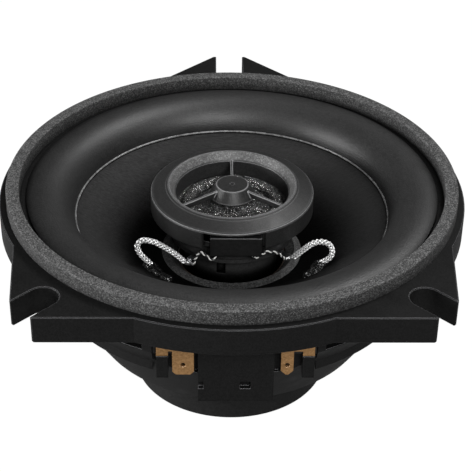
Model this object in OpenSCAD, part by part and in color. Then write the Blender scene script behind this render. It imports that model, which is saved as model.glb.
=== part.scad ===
// Coaxial car speaker, 100 mm class: a woofer with a tweeter on its centre post.
// Z runs along the speaker's axis towards the listener, Y points to the single rear ear.
// The origin lies on the axis in the back face of the flange, where the panel meets it.

/* [Frame] */
// Thickness of the flange and of its ears
flange_t = 6.7; // [5:0.1:8]
// Bevel along the flange's upper and lower edges
edge_bevel = 0.2; // [0.2:0.05:0.8]
// Radius of the spigot that drops into the panel's hole
spigot_r = 48.5; // [48:0.1:48.9]
// Width of the flange outside the spigot
flange_w = 6.7; // [6.3:0.1:7.1]
// Height of the closed band of the spigot, above the windows
spigot_h = 2.2; // [1.5:0.1:3.2]
// How far the legs between the windows stand back from the spigot's band
leg_step = 0.3; // [0.1:0.05:0.6]
// Height of the windows under the spigot's band
window_h = 5.4; // [4.4:0.1:6]
// Thickness of the frame's wall, measured sideways
wall = 2.4; // [1.8:0.1:2.8]
// Radius of the bowl's foot, where the motor hangs
foot_r = 34.4; // [33.9:0.1:36]
// Depth of the bowl's floor below the flange
bowl_depth = 29.55; // [28.5:0.1:31]
// Thickness of the bowl's floor
floor_t = 2.2; // [1.6:0.1:2.8]
// Width of the ledge that carries the spider
ledge_w = 3.9; // [3:0.1:4.5]
// Outer radius of the spider's ledge
ledge_r = 32.9; // [31.5:0.1:33]

/* [Ears] */
// Distance from the axis to the straight front edge
front_edge_y = 50.9; // [49.4:0.1:51]
// Distance from the axis to the far end of each front ear, across
ear_side_x = 48.1; // [47.8:0.1:49.2]
// Distance from the axis to the tips of the rear ear
rear_tip_y = 69.5; // [67:0.1:71]
// Width across the rear ear's two tips
rear_tip_w = 8.6; // [8.4:0.1:10]
// Width of the three open fixing slots
slot_w = 7.2; // [5:0.1:7.6]
// Distance from the axis to the inner end of a slot
slot_end_r = 56.3; // [56.2:0.1:58]

/* [Gasket and surround] */
// Width of the bare rim outside the foam gasket
rim_land = 1.7; // [1.2:0.1:2.1]
// Width of the foam gasket
gasket_w = 3.1; // [2.6:0.1:3.6]
// Thickness of the foam gasket
gasket_t = 3.55; // [2:0.05:5]
// How far the surround's glued lip stops short of the gasket's outer edge
lip_inset = 0.6; // [0.5:0.05:1.5]
// Width of the surround's glued lip
lip_w = 4.1; // [3.9:0.1:5.2]
// Thickness of the surround's glued lip
lip_t = 0.6; // [0.4:0.05:0.9]
// How far the centre of the roll's arc lies below its chord
roll_drop = 4; // [3:0.1:6]
// Thickness of the rubber roll
roll_t = 0.6; // [0.4:0.05:0.8]

/* [Cone and coil] */
// Radius at which the roll meets the cone
cone_r = 37.65; // [36.8:0.05:38.2]
// Height of that joint above the flange's back face
cone_rise = 0.95; // [0.2:0.05:1.6]
// Outer radius of the textured collar at the cone's neck
collar_r = 17.1; // [16.4:0.1:18]
// Depth of the collar's outer edge below the flange's back face
neck_drop = 10.55; // [10:0.05:11.2]
// Thickness of the paper cone
cone_t = 0.7; // [0.4:0.05:1]
// Outer radius of the voice coil's former
former_r = 13.2; // [13.1:0.05:13.5]
// Wall thickness of the voice coil's former
former_t = 0.25; // [0.15:0.05:0.35]
// Thickness of the winding's wire layers
winding_t = 0.55; // [0.4:0.05:0.65]
// Travel of the cone to each side of rest
cone_travel = 3; // [2:0.1:3.5]

/* [Spider] */
// Number of waves in the spider
spider_waves = 4; // [3:1:5]
// Height of the spider's waves to each side
spider_wave_h = 0.7; // [0.4:0.05:0.9]
// Thickness of the spider's cloth
spider_t = 0.45; // [0.3:0.05:0.6]
// Depth of the spider's ledge below the flange's back face
spider_drop = 18.2; // [17.5:0.1:19.5]

/* [Motor] */
// Radial width of the magnetic gap
gap_w = 1.7; // [1.5:0.05:1.9]
// Thickness of the front plate
plate_t = 4; // [3:0.1:5]
// Radius of the front plate and of the yoke's back plate
plate_r = 21.5; // [20.5:0.1:22.5]
// Radius of the ring magnet
magnet_r = 23.4; // [22.8:0.1:24]
// Thickness of the ring magnet
magnet_t = 7.35; // [7:0.05:9]
// Radius of the hole in the ring magnet
magnet_hole_r = 15.6; // [15:0.1:17]
// Thickness of the yoke's back plate
yoke_t = 2.35; // [2:0.05:3.5]
// Thickness of the rubber boot round the magnet
boot_t = 0.8; // [0.6:0.05:1.2]
// Thickness of the boot's back
boot_back_t = 0.95; // [0.7:0.05:1.5]
// Radius of the hole in the boot's back
boot_hole_r = 6; // [5:0.1:9]
// Number of screws that hold the motor to the frame
motor_screw_count = 4; // [3:1:6]
// Radius of the motor screws' shanks
motor_screw_r = 1.25; // [1:0.05:1.5]

/* [Terminals] */
// Left side of the terminal bay
bay_left = 18; // [17.8:0.1:18.6]
// Right side of the terminal bay
bay_right = 18.4; // [18.3:0.1:18.9]
// How far the bay's back wall lies inside the spigot's front
bay_inset = 6.5; // [6.1:0.1:6.9]
// Height of the terminal bay below the flange
bay_h = 14.4; // [14.1:0.1:15]
// Left side of the flat column between the blades
column_left = 7.9; // [7:0.1:8.3]
// Right side of the flat column between the blades
column_right = 8.9; // [8:0.1:9.6]
// How far the column's face lies inside the spigot's front
column_inset = 3.5; // [2.5:0.1:3.7]
// Height of the column below the flange
column_h = 21.1; // [19:0.1:23]
// Thickness of the terminal board
board_t = 1.6; // [1.2:0.1:1.6]
// Height of the terminal board
board_h = 8.3; // [8:0.1:8.6]
// Thickness of the blades' metal
blade_t = 0.8; // [0.5:0.05:0.8]
// Width of the wide blade
wide_blade_w = 4.8; // [4:0.1:4.8]
// Width of the narrow blade
narrow_blade_w = 2.8; // [2.4:0.1:3]
// Reach of the blades below the flange
blade_reach = 13.9; // [12.5:0.1:14]
// Radius of the hole in each blade
blade_hole_r = 0.55; // [0.4:0.05:0.8]
// Width of the guard posts beside the blades
post_w = 2.6; // [2.2:0.1:2.7]

/* [Tweeter] */
// Outer radius of the tweeter's bezel
bezel_r = 19.5; // [19.2:0.1:20.2]
// Height of the bezel's side wall
bezel_wall_h = 4.7; // [4.4:0.1:5.6]
// Height of the bezel's lip above the flange's back face
bezel_top = 8.45; // [8.2:0.05:9]
// Radius of the bezel's lip
bezel_lip_r = 15.2; // [14.8:0.1:16]
// Radius of the horn's throat
throat_r = 13.5; // [13.2:0.05:13.7]
// Radius of the plug's flat top
plug_top_r = 3.8; // [3:0.1:4.6]
// Radius of the plug's skirt
plug_skirt_r = 5.5; // [5:0.1:6.5]
// Height of the plug
plug_h = 2.9; // [2:0.1:3]
// Thickness of the three blades that carry the plug
vane_t = 0.6; // [0.4:0.05:1]
// Radius of the tweeter's base tier
tier_r = 16; // [15.6:0.1:16.5]
// Radius of the pedestal disc under the tier
disc_r = 15; // [14.4:0.1:15.2]
// Thickness of the pedestal disc
disc_t = 2; // [1.6:0.1:2.2]
// Radius of the post that carries the tweeter
post_r = 11.6; // [10:0.1:12]
// Radius of the dome
dome_r = 9; // [8.6:0.1:9.4]
// Height of the dome
dome_h = 2.2; // [1.5:0.1:2.4]
// Travel of the dome to each side of rest
dome_travel = 0.25; // [0.1:0.05:0.3]
// Width of the capacitor in the bezel's notch
capacitor_w = 12; // [10:0.1:12.6]
// Height of the capacitor
capacitor_h = 4.95; // [4:0.05:5.1]
// Depth of the capacitor, front to back
capacitor_d = 3.3; // [2.5:0.1:3.3]
// Radius of the centre bolt's shank
bolt_r = 1.9; // [1.5:0.05:2.5]

/* [Leads] */
// Diameter of the braided leads in front of the cone
braid_d = 1.35; // [1:0.05:1.5]
// Diameter of the twisted wires of the tweeter
pair_d = 1; // [0.7:0.05:1.1]
// Diameter of the tinsel leads behind the cone
tinsel_d = 1; // [0.7:0.05:1.2]

/* [Fits] */
// Gap left between glued or pressed pieces
seat_gap = 0.05; // [0.02:0.01:0.08]
// Gap round screws and rivets in their holes
hole_gap = 0.08; // [0.05:0.01:0.12]

/* [Hidden] */
$fn = 96;
cut = 1; // how far a cutting shape runs past the face that it opens

// Frame: radii inwards from the rim, heights below the flange and the bowl's slope
rim_r = spigot_r + flange_w;
gasket_r = rim_r - rim_land;
lip_r = gasket_r - lip_inset;
roll_r = lip_r - lip_w;
lip_seat_r = lip_r + 0.1;
leg_r = spigot_r - leg_step;
leg_draft = 0.3; // how far the legs lean in on their way down to the bowl
bowl_top_r = leg_r - leg_draft;
sill_h = 0.3; // height of the upright sill between the windows and the bowl's slope
bowl_top = spigot_h + window_h + sill_h;
bowl_slope = (bowl_top_r - foot_r) / (bowl_depth - bowl_top);
ledge_recess = lip_t;
ledge_lap = 0.8; // how far the flange's ledge reaches inside the roll's outer edge
ledge_deep = 2.5; // height of the slanted support under that ledge
coil_clear = 0.45; // gap beside the moving winding
floor_hole_r = former_r + winding_t + 2 * coil_clear;

function bowl_r(z) = z > -bowl_top ? leg_r : bowl_top_r + bowl_slope * (z + bowl_top);

// Drum: the upright step in the bowl's slope, left out at the terminal bay
drum_top = 12.6;
drum_low = 15.2; // depth of the drum's lower edge
drum_foot = 16.3; // depth at which its rounded foot meets the slope again
drum_root = 1; // how far it reaches into the bowl's wall
drum_round = 0.4;

// Windows: start and end angles, left clear of the bay and of four legs
windows = [[8, 78], [102, 172], [188, 245], [295, 352]];

// Ears
slot_in = -1.6; // sideways shift of the front slots towards the front edge
ear_front_in_x = 20; // where the front edge leaves the rim
ear_corner_x = 42.7; // end of the front edge at the slot's mouth
ear_tip_y = 44.5; // start of the ear's outer side
ear_lean = 1.6; // how far the ear's outer side leans out to the rim
ear_side_y = 23.2; // end of the ear's outer side on the rim
slot_reach = 20; // how far a slot's cut runs outwards
ear_root = 5.6; // how far in from the rim the rear ear's sides run

// Surround: the roll's arc through its two ends
roll_in = [cone_r, cone_rise + seat_gap];
roll_out = [roll_r, flange_t + lip_t];
roll_chord = roll_out - roll_in;
roll_half = norm(roll_chord) / 2;
roll_dir = roll_chord / norm(roll_chord);
roll_centre = (roll_in + roll_out) / 2 + roll_drop * [roll_dir[1], -roll_dir[0]];
roll_arc_r = sqrt(pow(roll_half, 2) + pow(roll_drop, 2));
roll_a0 = (atan2(roll_in[1] - roll_centre[1], roll_in[0] - roll_centre[0]) + 360) % 360;
roll_a1 = atan2(roll_out[1] - roll_centre[1], roll_out[0] - roll_centre[0]);
roll_steps = 28;
roll_lean = 0.1; // how far the roll's outer edge leans out at its foot
flap_w = 1.5; // width of the surround's flap on the cone's edge
flap_t = 0.4;

// Cone
cone_slope = (cone_rise + neck_drop) / (cone_r - collar_r);
function cone_z(r) = -neck_drop + cone_slope * (r - collar_r);
cone_in_r = former_r + seat_gap;
cone_out_r = cone_r + flap_w;
former_proud = 0.6; // how far the former stands out of the cone's neck
former_top = cone_z(cone_in_r) + former_proud;
collar_w = 1.7; // width of the collar's raised outer slope
collar_h = 0.7; // height of that slope
collar_in = [collar_r - collar_w, -neck_drop + collar_h];

// Motor stack, front to back
plate_top = -bowl_depth;
magnet_top = plate_top - plate_t;
yoke_top = magnet_top - magnet_t;
yoke_back = yoke_top - yoke_t;
boot_back = yoke_back - boot_back_t - seat_gap;
pole_gap = 0.5; // gap between the pole and the former's inside
pole_r = former_r - former_t - pole_gap;
plate_hole_r = pole_r + gap_w;
pole_proud = 0.35; // how far the pole stands above the front plate
pole_top = plate_top + pole_proud;
winding_mid = plate_top - plate_t / 2;
winding_h = plate_t + cone_travel; // it still covers half the gap at full travel
boot_in_r = magnet_r + 0.1;
boot_r = boot_in_r + boot_t;
screw_circle_r = (plate_hole_r + plate_r) / 2;
screw_head_r = 1.8 * motor_screw_r;
screw_head_h = 1.2;
screw_depth = plate_t / 2;
bolt_head_r = 2 * bolt_r;
bolt_recess = 0.25; // how deep the centre bolt's head lies in the yoke's back
bolt_head_h = yoke_t - bolt_recess - 0.1;

// Spider
spider_in_r = former_r + seat_gap;
spider_flat_in = 1.4; // width of the glued inner ring
spider_rim_w = ledge_w + 0.3; // width of the glued outer ring
spider_steps = 8 * spider_waves;

// Terminals
bay_y = spigot_r - bay_inset;
column_y = spigot_r - column_inset;
bay_relief = 0.3; // how far the flange's back is hollowed over the bay
relief_lap = 0.5; // how far that hollow reaches out past the spigot
board_top = 0.3;
board_front = bay_y + board_t;
blade_front = board_front + seat_gap + blade_t;
strip_top = 1.5;
strip_bottom = 7.4;
tab_bottom = 8.65;
wide_x = -11.2; // middle of the wide blade
narrow_x = 11.8; // middle of the narrow blade
post_clear = 0.9; // gap beside the left guard post
right_post_clear = 0.6; // gap beside the right guard post
left_post_x = -bay_left + post_clear;
right_post_x = bay_right - right_post_clear - post_w;
rivet_r = 1;
rivet_z = -4.4;
rivet_head_r = 1.9;
rivet_head_h = 0.5;
bay_wall_t = 1.8;
bay_wall_drop = 3; // how far the bay's back wall runs on below the bay
notch_rise = 3.6; // height of the column's notches above its foot
notch_h = 2;
notch_w = 2.4;
notch_x = 1.4; // left side of the notch in the column's face
notch_deep = 1.2;
column_root = 0.8; // how far the column's lower part reaches into the bowl
rivet_back = bay_y - bay_wall_t - seat_gap - rivet_head_h;
blade_hole_rise = 2.7; // height of the blade's hole above its tip
blade_hole_z = blade_reach - blade_hole_rise;

// Tweeter: heights above the flange's back face
bezel_rise = 1.8; // how far the lip stands above the top of the side wall
bezel_edge_z = bezel_top - bezel_rise;
bezel_base_z = bezel_edge_z - bezel_wall_h - 0.1;
tier_h = 4.4; // height of the base tier
pocket_t = 0.4; // thickness of the tier's floor above the pedestal disc
disc_top = bezel_base_z - tier_h;
disc_bottom = disc_top - disc_t;
pocket_floor = disc_top + pocket_t;
dome_rise = 0.35; // how far the dome's foot stands above the bezel's foot
dome_base = bezel_base_z + dome_rise;
suspension_t = 0.4;
suspension_seat = dome_base - suspension_t / 2;
suspension_r = throat_r + 0.4;
bezel_skin = 1.3;
housing_lip_h = 1.3; // how far the housing's rim reaches up inside the bezel
notch_left = 7.2;
notch_right = 7.5;
capacitor_x = 0.7; // middle of the capacitor
capacitor_front = 18;
capacitor_lift = 2.15; // height of the capacitor's foot above the pedestal disc
capacitor_z = disc_top + capacitor_lift;
tweeter_coil_r = dome_r - 0.1;
tweeter_coil_t = 0.3;
tweeter_gap = 0.3;
top_plate_r = tweeter_coil_r - tweeter_coil_t - tweeter_gap;
cup_in_r = tweeter_coil_r + tweeter_gap;
cup_t = 1.3;
cup_base_t = 1.1;
cup_drop = 0.45; // how far the cup's mouth lies below the suspension
cup_top = suspension_seat - cup_drop;
top_plate_t = 1;
magnet_inset = 0.5; // how far the tweeter's magnet stops short of its plate's edge
vane_angles = [90, 210, 330];
keyway_left = 3.7;
keyway_w = 2.1;
keyway_bottom = 9.9;
boss_r = 5;
boss_h = 6;

// Leads: route points chosen by hand, in millimetres
left_braid = [
    [-18.9, -13.6, -6.3], [-19.7, -13.8, -5], [-21.5, -14, -2.7], [-22.3, -14, -0.6],
    [-21.8, -14, 0.8], [-20.7, -14, 1.4], [-19.1, -14, 1.1], [-17.6, -14, 0.5],
    [-14.5, -13.6, -1.9], [-12.3, -13, -4.3], [-11.25, -12.65, -5.7]
];
right_braid = [
    [20.7, -13.6, -5.4], [21.6, -13.8, -4.7], [23, -14, -3.3], [23.4, -14, -1.6],
    [22.7, -14, 0.2], [21.1, -14, 1], [19.3, -14, 0.8], [17.9, -13.8, -0.2],
    [15.8, -12.8, -2.9], [14.6, -11.9, -4.7]
];
left_pair = [
    [-9.1, -13.9, -5.5], [-8.9, -14.2, -4.3], [-8.3, -14.9, -2.2], [-7.6, -15.2, -1.2],
    [-6.6, -15.7, -1.4], [-5.4, -16.2, -2.2], [-4.4, -16.5, -2.4], [-4, -16.5, -1.2]
];
right_pair = [
    [12.5, -12.4, -5], [11.9, -13.2, -3.9], [10.5, -14.2, -2], [8.2, -15, -1.1],
    [7.1, -15.5, -1.3], [5.6, -16.2, -1.9], [4.8, -16.5, -1.7], [4.7, -16.5, -1.2]
];
// Each tinsel lead: shares of the way from rivet to cone, and how far it hangs there
tinsel_bow = [
    [0, 0], [0.13, 0.3], [0.27, 1.8], [0.41, 3.5], [0.55, 4.5], [0.7, 4.2], [0.86, 2.4], [1, 0]
];
tinsel_stand = 0.45; // how far the leads' ends stand off the rivets' heads
left_tinsel_end = [-16.8, -21.6, -10.4];
right_tinsel_end = [17.4, -21.6, -10.4];
function tinsel(x, end) =
    let (start = [x, tinsel_stand - rivet_back, rivet_z])
    [for (b = tinsel_bow) start + b[0] * (end - start) - [0, 0, b[1]]];
left_tag = [-10.2, -12.9, -5.75]; // where braid and pair meet on the left
right_tag = [13.6, -11.6, -5.2]; // where braid and pair meet on the right
tag_r = 0.45;
tag_w = 1.2; // width of the metal tag under the pedestal disc
tag_t = 0.4;
tag_root = 3; // how far the tag reaches in under the disc

// Glue over the braids' ends: each lump's place beside the route's first point, and its radius
left_glue = [[-0.3, -0.6, 1.9], [1.3, -2.6, 1.6], [3.3, -4.6, 1.4]];
right_glue = [[-0.1, -0.4, 1.9], [-1.3, -2.2, 1.5], [-2.9, -3.6, 1.2]];
glue_bore = 0.2; // gap round the braid in its glue
glue_under = 5; // depth cleared below the cone under the glue
tube_sides = 8;

function unit(v) = v / norm(v);
function along(p, i) = unit(p[min(i + 1, len(p) - 1)] - p[max(i - 1, 0)]);
function arc(c, r, a0, a1, n) =
    [for (i = [0:n]) let (a = a0 + (a1 - a0) * i / n) c + r * [cos(a), sin(a)]];
function ring(p, i, r, side) =
    let (t = along(p, i), u = unit(cross(t, side)), v = cross(t, u))
    [for (k = [0:tube_sides - 1]) let (a = 360 * k / tube_sides) p[i] + r * (cos(a) * u + sin(a) * v)];

// A round lead swept along its route; side is any direction that the route never takes
module lead(route, d, side) {
    n = len(route);
    s = tube_sides;
    points = [for (i = [0:n - 1]) each ring(route, i, d / 2, side)];
    walls = [for (i = [0:n - 2], k = [0:s - 1])
        [i * s + k, i * s + (k + 1) % s, (i + 1) * s + (k + 1) % s, (i + 1) * s + k]];
    split = [for (f = walls) each [[f[0], f[1], f[2]], [f[0], f[2], f[3]]]];
    caps = [[for (k = [s - 1:-1:0]) k], [for (k = [0:s - 1]) (n - 1) * s + k]];
    polyhedron(points, concat(split, caps), convexity = 6);
}

module tube(r_out, r_in, z_low, z_high) {
    rotate_extrude() translate([r_in, z_low]) square([r_out - r_in, z_high - z_low]);
}

module disc_at(x, y, z_low, r, h) {
    translate([x, y, z_low]) cylinder(r = r, h = h);
}

// A box between two corners
module block(low, high) {
    translate(low) cube(high - low);
}

// ---- Frame ----

// A flat prism with bevelled upper and lower edges; the outline is convex
module bevelled(outline, inner) {
    hull() {
        linear_extrude(flange_t) polygon(inner);
        translate([0, 0, edge_bevel]) linear_extrude(flange_t - 2 * edge_bevel) polygon(outline);
    }
}

module front_ear() {
    b = edge_bevel;
    outline = [
        [ear_front_in_x, -front_edge_y], [ear_corner_x, -front_edge_y],
        [ear_side_x, -ear_tip_y], [ear_side_x + ear_lean, -ear_side_y],
        [ear_front_in_x, -ear_side_y]
    ];
    inner = [
        [ear_front_in_x, -front_edge_y + b], [ear_corner_x - b, -front_edge_y + b],
        [ear_side_x - b, -ear_tip_y + b], [ear_side_x + ear_lean - b, -ear_side_y],
        [ear_front_in_x, -ear_side_y]
    ];
    bevelled(outline, inner);
}

module rear_ear() {
    b = edge_bevel;
    h = rear_tip_w / 2;
    drop = rear_tip_y - rim_r + ear_root;
    outline = [
        [-h, rear_tip_y], [h, rear_tip_y], [h + drop, rear_tip_y - drop],
        [-h - drop, rear_tip_y - drop]
    ];
    inner = [
        [-h, rear_tip_y - b], [h, rear_tip_y - b], [h + drop - b, rear_tip_y - drop],
        [-h - drop + b, rear_tip_y - drop]
    ];
    bevelled(outline, inner);
}

// An open slot that runs outwards along +Y from its round end, with bevelled edges
module slot_cut() {
    b = edge_bevel;
    r = slot_w / 2;
    translate([0, 0, -cut]) cylinder(r = r, h = flange_t + 2 * cut);
    translate([-r, 0, -cut]) cube([slot_w, slot_reach, flange_t + 2 * cut]);
    translate([0, 0, flange_t - b]) cylinder(r1 = r, r2 = r + b, h = b);
    rotate([-90, 0, 0]) linear_extrude(slot_reach)
        polygon([[-r, -flange_t + b], [-r - b, -flange_t], [r + b, -flange_t], [r, -flange_t + b]]);
}

module slot_cuts() {
    end = slot_end_r + slot_w / 2;
    translate([0, end, 0]) slot_cut();
    for (m = [0, 1]) mirror([m, 0, 0]) rotate([0, 0, -135]) translate([-slot_in, end, 0]) slot_cut();
}

module flange_ring() {
    b = edge_bevel;
    seat = flange_t - ledge_recess;
    rotate_extrude() polygon([
        [spigot_r - wall, 0], [rim_r - b, 0], [rim_r, b], [rim_r, flange_t - b],
        [rim_r - b, flange_t], [lip_seat_r, flange_t], [lip_seat_r, seat],
        [roll_r - ledge_lap, seat], [spigot_r - wall, seat - ledge_deep]
    ]);
}

// The ring and its three ears, open for the roll and recessed for the surround's lip
module flange() {
    difference() {
        union() {
            front_ear();
            mirror([1, 0, 0]) front_ear();
            rear_ear();
        }
        disc_at(0, 0, -cut, spigot_r - wall + 0.5, flange_t + 2 * cut);
        disc_at(0, 0, flange_t - ledge_deep, lip_seat_r, flange_t);
    }
    flange_ring();
}

// The bowl's outside, filled in to the axis
module bowl_body() {
    rotate_extrude() polygon([
        [0, 0], [spigot_r, 0], [spigot_r, -spigot_h], [leg_r, -spigot_h], [bowl_top_r, -bowl_top],
        [foot_r, -bowl_depth], [0, -bowl_depth]
    ]);
}

module drum() {
    r = bowl_r(-drum_top) - seat_gap;
    foot_in = bowl_r(-drum_foot) - seat_gap;
    difference() {
        rotate_extrude() polygon([
            [r - drum_root, -drum_top], [r, -drum_top], [r, -drum_low],
            [r - drum_round, -drum_low - drum_round], [foot_in, -drum_foot],
            [foot_in - drum_root, -drum_foot]
        ]);
        block([-bay_left, -spigot_r - cut, -drum_foot - cut], [bay_right, 0, 0]);
    }
}

module bowl_hollow() {
    floor_z = -bowl_depth + floor_t;
    rotate_extrude() polygon([
        [0, floor_z], [bowl_r(floor_z) - wall, floor_z], [bowl_r(-bowl_top) - wall, -bowl_top],
        [leg_r - wall, -spigot_h], [spigot_r - wall, -spigot_h], [spigot_r - wall, cut], [0, cut]
    ]);
}

module window_cuts() {
    for (w = windows) rotate([0, 0, w[0]]) rotate_extrude(angle = w[1] - w[0])
        translate([leg_r - wall - cut, -spigot_h - window_h]) square([wall + 2 * cut, window_h]);
}

module bay_wall() {
    intersection() {
        bowl_body();
        block([-bay_left - wall, -bay_y, -bay_h - bay_wall_drop], [bay_right + wall, -bay_y + bay_wall_t, 0]);
    }
}

// The open bay, and the hollow over it that keeps the board clear of the panel
module bay_cut() {
    block([-bay_left, -spigot_r - cut, -bay_h], [bay_right, -bay_y, 0]);
    block([-bay_left, -spigot_r - relief_lap, -cut], [bay_right, -bay_y, bay_relief]);
}

// The flat column with its two mould notches; the terminal board slides up behind it
module column() {
    notch_z = -column_h + notch_rise;
    difference() {
        union() {
            block([-column_left, -column_y, -column_h],
                  [column_right, -board_front - seat_gap, bay_relief]);
            block([-column_left, -column_y, -column_h],
                  [column_right, -bowl_r(-column_h) + column_root, -board_top - board_h - seat_gap]);
        }
        block([-column_left - cut, -column_y - cut, notch_z],
              [-column_left + notch_deep, -column_y + notch_deep, notch_z + notch_h]);
        block([notch_x, -column_y - cut, notch_z],
              [notch_x + notch_w, -column_y + notch_deep, notch_z + notch_h]);
    }
}

module guard_posts() {
    top = -tab_bottom - seat_gap;
    for (x = [left_post_x, right_post_x])
        block([x, -blade_front - 0.2, -bay_h - 0.2], [x + post_w, -bay_y + 0.2, top]);
}

module screw_places() {
    for (i = [0:motor_screw_count - 1]) rotate([0, 0, 45 + 360 * i / motor_screw_count])
        translate([screw_circle_r, 0, 0]) children();
}

module rivet_places() {
    for (x = [wide_x, narrow_x]) translate([x, 0, rivet_z]) rotate([90, 0, 0]) children();
}

module basket_frame() {
    color("#26272a") {
        difference() {
            union() {
                flange();
                difference() {
                    bowl_body();
                    bowl_hollow();
                }
                drum();
                bay_wall();
                tube(ledge_r, ledge_r - ledge_w, -bowl_depth + floor_t / 2, -spider_drop);
            }
            slot_cuts();
            window_cuts();
            bay_cut();
            disc_at(0, 0, -bowl_depth - cut, floor_hole_r, floor_t + 2 * cut);
            screw_places() disc_at(0, 0, -bowl_depth - cut, motor_screw_r + hole_gap, floor_t + 2 * cut);
            rivet_places() disc_at(0, 0, bay_y - 2 * bay_wall_t, rivet_r + hole_gap, 3 * bay_wall_t);
        }
        column();
        guard_posts();
    }
}

// ---- Gasket, surround and cone ----

module front_gasket() {
    color("#4a4b4d") tube(gasket_r, gasket_r - gasket_w, flange_t, flange_t + gasket_t);
}

module surround() {
    foot_z = roll_in[1];
    edge = cone_r + flap_w;
    flap_top = foot_z + flap_t + cone_slope * roll_t;
    flap_a = 180 - asin((flap_top - roll_centre[1]) / (roll_arc_r - roll_t));
    seat = flange_t - ledge_recess;
    color("#1d1e20") rotate_extrude() polygon(concat(
        arc(roll_centre, roll_arc_r, roll_a0, roll_a1, roll_steps),
        [[roll_r + roll_lean, flange_t], [lip_r, flange_t], [lip_r, seat], [roll_r - roll_t, seat]],
        arc(roll_centre, roll_arc_r - roll_t, roll_a1, flap_a, roll_steps),
        [[edge, foot_z + flap_t + cone_slope * flap_w], [edge, foot_z + cone_slope * flap_w]]
    ));
}

module cone() {
    color("#2c2d2f") rotate_extrude() polygon([
        [cone_in_r, cone_z(cone_in_r)], [cone_out_r, cone_z(cone_out_r)],
        [cone_out_r, cone_z(cone_out_r) - cone_t], [cone_in_r, cone_z(cone_in_r) - cone_t]
    ]);
}

module neck_collar() {
    low = former_r + 0.3;
    color("#5c5d5e") rotate_extrude() polygon([
        [collar_r, cone_z(collar_r) + seat_gap], collar_in,
        [low + 0.5, collar_in[1] - 1.4], [low, cone_z(low) + 0.8], [low, cone_z(low) + seat_gap]
    ]);
}

// ---- Voice coil and spider ----

module voice_coil_former() {
    color("#b07a3c") tube(former_r, former_r - former_t, winding_mid - winding_h / 2 - 0.25, former_top);
}

module voice_coil_winding() {
    color("#a3501f") tube(former_r + winding_t, former_r + 0.02,
                          winding_mid - winding_h / 2, winding_mid + winding_h / 2);
}

module spider() {
    z0 = -spider_drop + seat_gap;
    r0 = spider_in_r + spider_flat_in;
    r1 = ledge_r - spider_rim_w;
    function wave(i) = spider_wave_h * sin(360 * spider_waves * i / spider_steps);
    function at(i) = r0 + (r1 - r0) * i / spider_steps;
    color("#c2a24a") rotate_extrude() polygon(concat(
        [[spider_in_r, z0], [spider_in_r, z0 + spider_t]],
        [for (i = [0:spider_steps]) [at(i), z0 + spider_t + wave(i)]],
        [[ledge_r, z0 + spider_t], [ledge_r, z0]],
        [for (i = [spider_steps:-1:0]) [at(i), z0 + wave(i)]]
    ));
}

// ---- Motor ----

module front_plate() {
    color("#8d9094") difference() {
        tube(plate_r, plate_hole_r, magnet_top, plate_top);
        screw_places() disc_at(0, 0, plate_top - screw_depth - 0.5, motor_screw_r + hole_gap,
                               screw_depth + 0.5 + cut);
    }
}

module ring_magnet() {
    color("#3a3a3c") tube(magnet_r, magnet_hole_r, yoke_top, magnet_top);
}

module pole_yoke() {
    color("#8d9094") difference() {
        union() {
            disc_at(0, 0, yoke_back, plate_r, yoke_t);
            disc_at(0, 0, yoke_back, pole_r, pole_top - yoke_back);
        }
        disc_at(0, 0, yoke_back - cut, bolt_r + hole_gap, pole_top - yoke_back + 2 * cut);
        disc_at(0, 0, yoke_back - cut, bolt_head_r + 0.4, bolt_head_h + bolt_recess + cut);
    }
}

module magnet_boot() {
    r = 0.5;
    top = plate_top - 0.1;
    back_in = boot_back + boot_back_t;
    color("#1b1c1e") rotate_extrude() polygon([
        [boot_r, top], [boot_in_r, top], [boot_in_r, back_in], [boot_hole_r, back_in],
        [boot_hole_r, boot_back], [boot_r - r, boot_back], [boot_r - 0.3 * r, boot_back + 0.3 * r],
        [boot_r, boot_back + r]
    ]);
}

module motor_screws() {
    floor_z = -bowl_depth + floor_t;
    color("#b9bcc0") screw_places() difference() {
        union() {
            disc_at(0, 0, plate_top - screw_depth, motor_screw_r, screw_depth + floor_t + 0.4);
            disc_at(0, 0, floor_z + seat_gap, screw_head_r, screw_head_h);
        }
        translate([-screw_head_r, -0.25, floor_z + screw_head_h - 0.4]) cube([2 * screw_head_r, 0.5, 1]);
    }
}

module centre_bolt() {
    low = yoke_back + bolt_recess - seat_gap;
    color("#b9bcc0") difference() {
        union() {
            disc_at(0, 0, low, bolt_head_r, bolt_head_h);
            disc_at(0, 0, low, bolt_r, disc_bottom - 1 - low);
        }
        for (a = [0, 90]) rotate([0, 0, a])
            block([-0.6 * bolt_head_r, -0.4, low - cut], [0.6 * bolt_head_r, 0.4, low + 0.9]);
    }
}

// ---- Terminals ----

module terminal_board() {
    color("#151517") difference() {
        block([-bay_left + 0.1, -board_front, -board_top - board_h],
              [bay_right - 0.1, -bay_y - seat_gap, -board_top]);
        rivet_places() disc_at(0, 0, bay_y - cut, rivet_r + hole_gap, board_t + 2 * cut);
    }
}

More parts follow.
